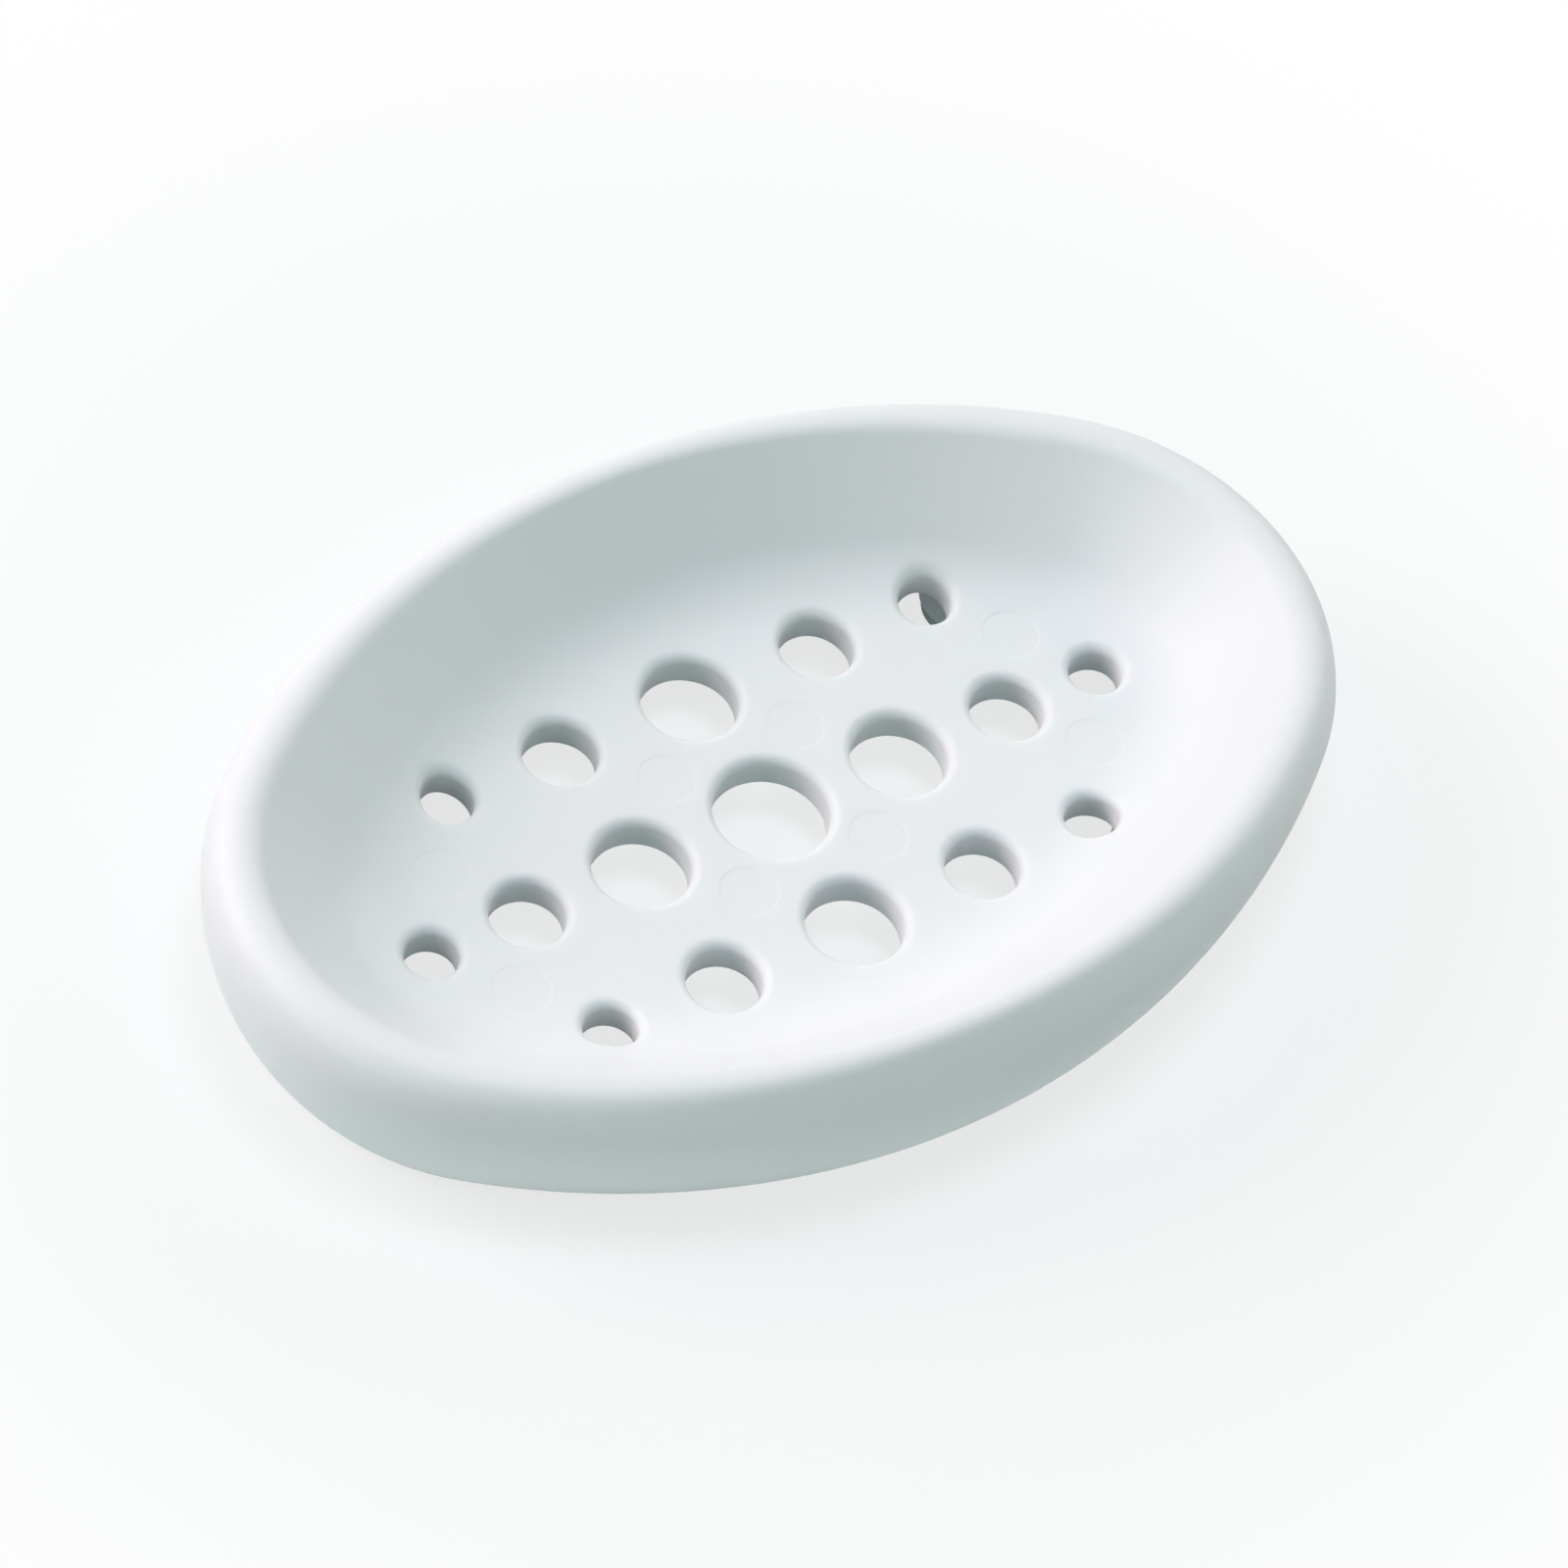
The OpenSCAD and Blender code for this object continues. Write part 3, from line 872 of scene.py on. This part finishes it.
class SOAPDISH_OT_dish(bpy.types.Operator):
    """Build the moulded dish: swept wall, drain floor, hole collars and the bosses underneath"""

    bl_idname = "soapdish.dish"
    bl_label = "Build Dish"

    def execute(self, context):
        size, foot = context.scene.soapdish_sizes, context.scene.soapdish_feet
        oval, wall = Oval(size), Section(size)
        material = moulded_polypropylene(context.scene.soapdish_finishes.dish)
        holes = drain_holes(size)

        # The wall is swept inwards to a seam that clears the outermost holes' rounded edges by half
        # a rounding
        seam = min(oval.inset(x, y) - r for x, y, r in holes) - 1.5 * size.hole_round
        section = wall.side(seam)
        side_curve = profile_object("side section", section)
        end_curve = profile_object("end section", wall.end(seam))
        wall_mesh = grown(
            "wall",
            wall_tree(),
            {
                "Side section": side_curve,
                "End section": end_curve,
                "End centre": oval.end_x,
                "End radius": oval.end_r,
                "Side centre": -oval.side_y,
                "Side radius": oval.side_r,
                "Join angle": oval.join,
                "Half arc steps": float(size.path_steps),
                "Material": material,
            },
        )

        # From the floor's face round the upper edge, down the bore and round the lower edge
        edge = (
            arc(
                (size.hole_round, size.floor_height - size.hole_round),
                size.hole_round, 90, 180, FILLET_STEPS,
            )
            + [(0.0, wall.under_z + size.hole_relief + (size.floor_thickness / 2) * k / 3) for k in (2, 1)]
            + arc(
                (size.hole_relief, wall.under_z + size.hole_relief),
                size.hole_relief, 180, 270, SHORT_STEPS,
            )
        )
        edge_curve = profile_object("hole edge", edge)
        centres = bpy.data.meshes.new("hole centres")
        centres.from_pydata([(x, y, 0) for x, y, r in holes], [], [])
        centres.attributes.new("bore", "FLOAT", "POINT").data.foreach_set("value", [r for x, y, r in holes])
        collars = grown(
            "collars",
            collar_tree(),
            {"Edge profile": edge_curve, "Steps round": size.hole_steps, "Material": material},
            centres,
        )
        # A collar that reaches the fillet is bent to follow the wall's two faces
        for vert in collars.vertices:
            inset = oval.inset(vert.co.x, vert.co.y)
            share = (vert.co.z - wall.under_z) / size.floor_thickness
            lift = share * (wall.top(inset) - size.floor_height)
            vert.co.z += lift + (1 - share) * (wall.bottom(inset) - wall.under_z)

        marks = ejector_marks(size)
        soft = size.mark / 30  # half the width of a mark's soft edge

        def floor_z(x, y):
            away = min(math.hypot(x - mx, y - my) for mx, my in marks) - size.mark / 2
            sunk = min(1.0, max(0.0, 0.5 - away / (2 * soft)))
            return wall.top(oval.inset(x, y)) - size.mark_depth * sunk * sunk * (3 - 2 * sunk)

        def under_z(x, y):
            return wall.bottom(oval.inset(x, y))

        steps = 8 * size.path_steps
        around = size.hole_steps
        depth = wall.floor_inset + size.wall / 2 - seam
        insets = [seam + depth * k / FILLET_STEPS for k in range(1, FILLET_STEPS + 1)]
        inner = [p for inset in insets for p in oval.ring(inset, size.path_steps)]
        # Rings of points about each mark's soft edge
        mark_radii = [size.mark / 2 + soft * t for t in (-2, -1, -0.6, -0.2, 0.2, 0.6, 1, 2)]
        mark_rings = [p for mark in marks for r in mark_radii for p in circle(mark, r, around)]

        bm = bmesh.new()
        for mesh in (wall_mesh, collars):
            bm.from_mesh(mesh)
        gap = size.hole_round / 4
        wide = [(x, y, r + size.hole_round) for x, y, r in holes]
        starts = [h * around * len(edge) for h in range(len(holes))]
        top_loops = [loop_of(wall_mesh, 0, len(section), steps)]
        top_loops += [loop_of(collars, start, len(edge), around) for start in starts]
        apart = size.mark / 2 + 3 * soft
        clear_of_marks = [
            (x, y) for x, y in inner if all(math.hypot(x - mx, y - my) > apart for mx, my in marks)
        ]
        sheet(bm, top_loops, clear_of_marks + mark_rings, floor_z, wide, gap)
        low = [(x, y, r + size.hole_relief) for x, y, r in holes]
        low_loops = [loop_of(wall_mesh, len(section) - 1, len(section), steps)]
        low_loops += [loop_of(collars, start + len(edge) - 1, len(edge), around) for start in starts]
        sheet(bm, low_loops, inner, under_z, low, gap)
        bmesh.ops.remove_doubles(bm, verts=bm.verts, dist=WELD)
        bmesh.ops.recalc_face_normals(bm, faces=bm.faces)
        loose = [e for e in bm.edges if not e.is_manifold]
        if loose:
            raise RuntimeError(f"the dish has {len(loose)} open edges, the first at {loose[0].verts[0].co}")

        centre = ((FOOT_LOW.x + FOOT_HIGH.x) / 2, (FOOT_LOW.y + FOOT_HIGH.y) / 2)
        for sx in (-1, 1):
            for sy in (-1, 1):
                boss = bmesh.new()
                boss_with_socket(boss, (sx * centre[0], sy * centre[1]), size, foot, wall, oval)
                bmesh.ops.recalc_face_normals(boss, faces=boss.faces)
                piece = bpy.data.meshes.new("boss")
                boss.to_mesh(piece)
                boss.free()
                bm.from_mesh(piece)
        mesh = bpy.data.meshes.new("dish")
        bm.to_mesh(mesh)
        bm.free()
        mesh.materials.clear()
        mesh.materials.append(material)
        for curve in (side_curve, end_curve, edge_curve):
            bpy.data.objects.remove(curve)
        place("dish", mesh, "dish", "dish_body")
        return {"FINISHED"}


class SOAPDISH_OT_feet(bpy.types.Operator):
    """Build the four push-in feet, each with a rounded pad and a ribbed stem"""

    bl_idname = "soapdish.feet"
    bl_label = "Build Feet"

    def execute(self, context):
        foot = context.scene.soapdish_feet
        material = soft_elastomer(context.scene.soapdish_finishes.feet)
        pad_r = (FOOT_HIGH.x - FOOT_LOW.x) / 2
        stem_r = foot.stem / 2
        core_r = stem_r - foot.stem_groove
        rib = (FOOT_HIGH.z - foot.pad_height) / 5  # three grooves and two ribs share the stem
        small = foot.pad_round / 4  # bevel of the pad's upper edge
        turn = (pad_r - foot.pad_round, foot.pad_round)
        profile = [(0, 0)] + arc(turn, foot.pad_round, -90, 0, TURN_STEPS)
        profile += [(pad_r, foot.pad_height - small), (pad_r - small, foot.pad_height)]
        profile += [(core_r, foot.pad_height)]
        for level in (1, 3):
            start = foot.pad_height + level * rib
            profile += [(core_r, start), (stem_r, start), (stem_r, start + rib), (core_r, start + rib)]
        profile += [(core_r, FOOT_HIGH.z), (0, FOOT_HIGH.z)]
        bm = bmesh.new()
        lathe(bm, profile, FOOT_STEPS)
        bmesh.ops.recalc_face_normals(bm, faces=bm.faces)
        blank = bpy.data.meshes.new("foot")
        bm.to_mesh(blank)
        bm.free()
        blank_object = bpy.data.objects.new("foot blank", blank)
        context.scene.collection.objects.link(blank_object)
        mesh = grown(
            "feet",
            feet_tree(),
            {
                "Foot": blank_object,
                "Pitch along": FOOT_LOW.x + FOOT_HIGH.x,
                "Pitch across": FOOT_LOW.y + FOOT_HIGH.y,
                "Material": material,
            },
        )
        bpy.data.objects.remove(blank_object)
        feet = place("feet", mesh, "feet", *FEET)
        feet.data.set_sharp_from_angle(angle=math.radians(40))  # keeps the ribs crisp
        return {"FINISHED"}


class SOAPDISH_OT_studio(bpy.types.Operator):
    """Set up the table, the lamps, the room's light and the camera"""

    bl_idname = "soapdish.studio"
    bl_label = "Set Up Studio"

    def execute(self, context):
        scene, studio = context.scene, context.scene.soapdish_studio
        reach = TABLE_REACH * (CAD_HIGH.x - CAD_LOW.x)
        corners = [(sx * reach, sy * reach, 0) for sx, sy in ((-1, -1), (1, -1), (1, 1), (-1, 1))]
        table = bpy.data.meshes.new("table")
        table.from_pydata(corners, [], [(0, 1, 2, 3)])
        finish = scene.soapdish_finishes
        table.materials.append(matt_table(finish.table, finish.table_white))
        table_object = bpy.data.objects.new("table", table)
        scene.collection.objects.link(table_object)

        for name, level, azimuth, elevation, width, colour in LAMPS:
            self.lamp(name, azimuth, elevation, width, getattr(studio, level), colour)

        world = bpy.data.worlds.new("room")
        world.use_nodes = True
        tree = world.node_tree
        tree.nodes.clear()
        room = add(tree, "ShaderNodeBackground", {"Color": ROOM_COLOUR, "Strength": studio.room_level})
        white = add(tree, "ShaderNodeBackground", {"Color": WHITE, "Strength": 1.0})
        both = add(
            tree, "ShaderNodeMixShader", {0: seen_directly(tree), 1: room.outputs[0], 2: white.outputs[0]}
        )
        add(tree, "ShaderNodeOutputWorld", {"Surface": both.outputs[0]})
        scene.world = world
        scene.view_settings.view_transform = "Standard"

        camera = bpy.data.cameras.new("camera")
        camera.sensor_width = SENSOR
        camera.lens = studio.focal_pixels / PHOTO_PIXELS * SENSOR
        camera.clip_start, camera.clip_end = 0.01, 100
        camera_object = bpy.data.objects.new("camera", camera)
        scene.collection.objects.link(camera_object)
        az, el, roll = studio.azimuth, studio.elevation, studio.roll
        ahead = Vector((math.sin(az) * math.cos(el), math.cos(az) * math.cos(el), -math.sin(el)))
        right = Vector((math.cos(az), -math.sin(az), 0))
        up = right.cross(ahead)
        turned_right = math.cos(roll) * right + math.sin(roll) * up
        turned_up = math.cos(roll) * up - math.sin(roll) * right
        place_matrix = Matrix((turned_right, turned_up, -ahead)).transposed().to_4x4()
        mouth = Vector((0, 0, scene.soapdish_sizes.floor_height))
        place_matrix.translation = Vector(studio.position) + mouth
        camera_object.matrix_world = place_matrix
        scene.camera = camera_object
        return {"FINISHED"}

    def lamp(self, name, azimuth, elevation, width, level, colour):
        """A square lamp that looks at the dish from LAMP_DISTANCE away. The azimuth runs anticlockwise
        from +X, in degrees. A level of 1 lights a white face turned to the lamp fully."""
        az, el = math.radians(azimuth), math.radians(elevation)
        facing = Vector((math.cos(el) * math.cos(az), math.cos(el) * math.sin(az), math.sin(el)))
        place_at = LAMP_DISTANCE * facing
        light = bpy.data.lights.new(name, "AREA")
        light.shape = "SQUARE"
        light.size = width
        light.color = colour
        light.energy = level * math.pi**2 * place_at.length_squared
        lamp_object = bpy.data.objects.new(name, light)
        bpy.context.scene.collection.objects.link(lamp_object)
        turned = place_at.to_track_quat("Z", "Y").to_matrix().to_4x4()
        lamp_object.matrix_world = Matrix.Translation(place_at) @ turned


class SOAPDISH_PT_panel(bpy.types.Panel):
    """Sizes, colours and builders of the soap dish"""

    bl_idname = "SOAPDISH_PT_panel"
    bl_label = "Soap Dish"
    bl_space_type = "VIEW_3D"
    bl_region_type = "UI"
    bl_category = "Soap Dish"

    def draw(self, context):
        scene = context.scene
        for group_name in GROUPS:
            group = getattr(scene, group_name)
            box = self.layout.box()
            for name in group.__annotations__:
                box.prop(group, name)
        for operator in OPERATORS:
            self.layout.operator(operator.bl_idname)


GROUPS = {
    "soapdish_sizes": DishSizes,
    "soapdish_feet": FootSizes,
    "soapdish_finishes": Finishes,
    "soapdish_studio": StudioSettings,
}
OPERATORS = (SOAPDISH_OT_dish, SOAPDISH_OT_feet, SOAPDISH_OT_studio)


def register():
    for cls in (*GROUPS.values(), *OPERATORS, SOAPDISH_PT_panel):
        bpy.utils.register_class(cls)
    for name, group in GROUPS.items():
        setattr(bpy.types.Scene, name, PointerProperty(type=group))


def unregister():
    for name in GROUPS:
        delattr(bpy.types.Scene, name)
    for cls in reversed((*GROUPS.values(), *OPERATORS, SOAPDISH_PT_panel)):
        bpy.utils.unregister_class(cls)


def main():
    register()
    bpy.ops.soapdish.dish()
    bpy.ops.soapdish.feet()
    bpy.ops.soapdish.studio()


if __name__ == "__main__":
    main()
